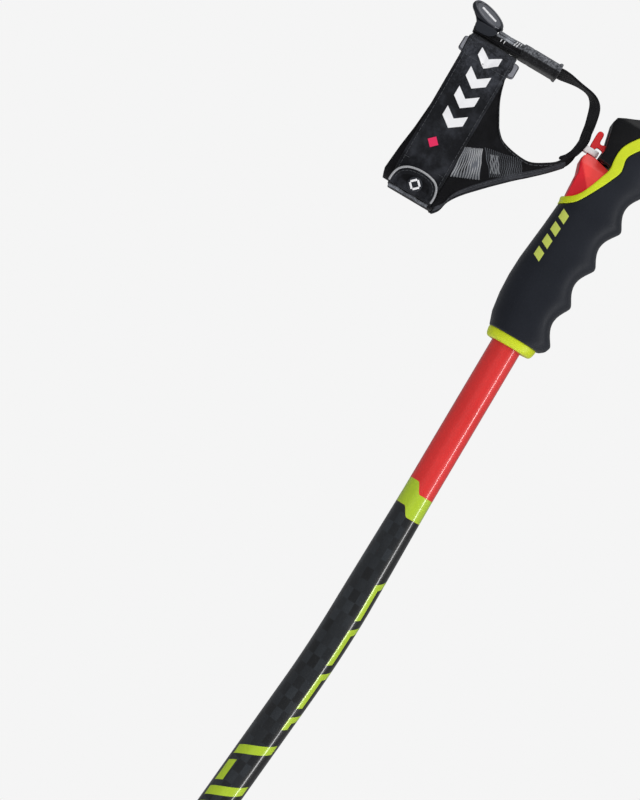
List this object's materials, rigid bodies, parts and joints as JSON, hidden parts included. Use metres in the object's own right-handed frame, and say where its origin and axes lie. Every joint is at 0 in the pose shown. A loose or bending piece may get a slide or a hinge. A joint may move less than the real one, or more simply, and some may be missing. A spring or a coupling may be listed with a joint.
{
  "type": "ski pole",
  "caption": "Bent, tapered alpine race ski pole with a carbide tip, cone basket, finger-grooved grip, sprung release clip and a cuffed hand strap that hangs on it.",
  "frame": {"origin": "the end of the carbide tip, on the axis of the lower shaft", "axes": "+Z runs parallel to the upper shaft and the grip, from tip to grip; +X is the side of the finger grooves; the strap lies on the -X side and its outer face looks to -Y"},
  "size_m": [0.1468, 0.0376, 1.2534],
  "materials": {
    "shaft_paint": "gloss lacquer, red with a lime ring and a carbon-look stretch",
    "lime_plastic": "satin",
    "black_plastic": "satin",
    "grip_rubber": "matte",
    "carbide": "ground",
    "steel": "brushed",
    "red_plastic": "satin",
    "white_plastic": "gloss",
    "strap_fabric": "woven",
    "strap_webbing": "woven tape",
    "strap_mesh": "mesh",
    "strap_rubber": "satin",
    "grey_plastic": "satin"
  },
  "bodies": {
    "pole": {"shaft_tube": "shaft_paint", "ferrule": "black_plastic", "cone_basket": "lime_plastic", "tip_body": "black_plastic", "carbide_tip": "carbide", "grip_core": "black_plastic", "grip_rubber": "grip_rubber", "grip_collar": "lime_plastic", "trim_band": "lime_plastic", "grip_head": "black_plastic", "clip_tower": "red_plastic", "tower_screw": "steel", "lever_pin": "steel", "lever_spring": "steel"},
    "release_lever": {"release_lever": "red_plastic"},
    "strap_loop": {"strap_loop": "white_plastic"},
    "strap": {"hook_sleeve": "strap_fabric", "thumb_webbing": "strap_webbing", "thumb_web": "strap_fabric", "palm_web": "strap_fabric", "mesh_insert": "strap_mesh", "back_band": "strap_fabric", "palm_band": "strap_fabric", "buckle_ring": "grey_plastic", "closure_strap": "strap_webbing", "adjust_webbing": "strap_webbing", "wrist_wrap": "strap_fabric"},
    "keeper": {"keeper_sleeve": "strap_rubber"},
    "pull_tab": {"pull_tab": "strap_rubber", "tab_inlay": "white_plastic"},
    "closure_flap": {"closure_flap": "strap_fabric", "flap_piping": "grey_plastic", "flap_badge": "white_plastic"}
  },
  "joints": [
    {"name": "lever_hinge", "type": "hinge", "parent": "pole", "child": "release_lever", "pos_m": [-0.03476, 0, 1.21688], "axis": [0, 1, 0], "range_deg": [0, 22], "stiffness_Nm_per_rad": 0.04, "springref_deg": -17.19},
    {"name": "loop_swing", "type": "hinge", "parent": "pole", "child": "strap_loop", "pos_m": [-0.04306, 0, 1.21628], "axis": [0, 1, 0], "range_deg": [-6, 6]},
    {"name": "strap_swing", "type": "hinge", "parent": "strap_loop", "child": "strap", "pos_m": [-0.04797, 0, 1.21628], "axis": [0, 1, 0], "range_deg": [-14, 16]},
    {"name": "keeper_slide", "type": "slide", "parent": "strap", "child": "keeper", "axis": [-1, 0, 0], "range_m": [0, 0.01]},
    {"name": "tab_peel", "type": "hinge", "parent": "strap", "child": "pull_tab", "pos_m": [-0.11277, 0, 1.24568], "axis": [0, 1, 0], "range_deg": [0, 65]},
    {"name": "flap_fold", "type": "hinge", "parent": "strap", "child": "closure_flap", "pos_m": [-0.11037, -0.0152, 1.15148], "axis": [1, 0, 0], "range_deg": [0, 130]}
  ]
}
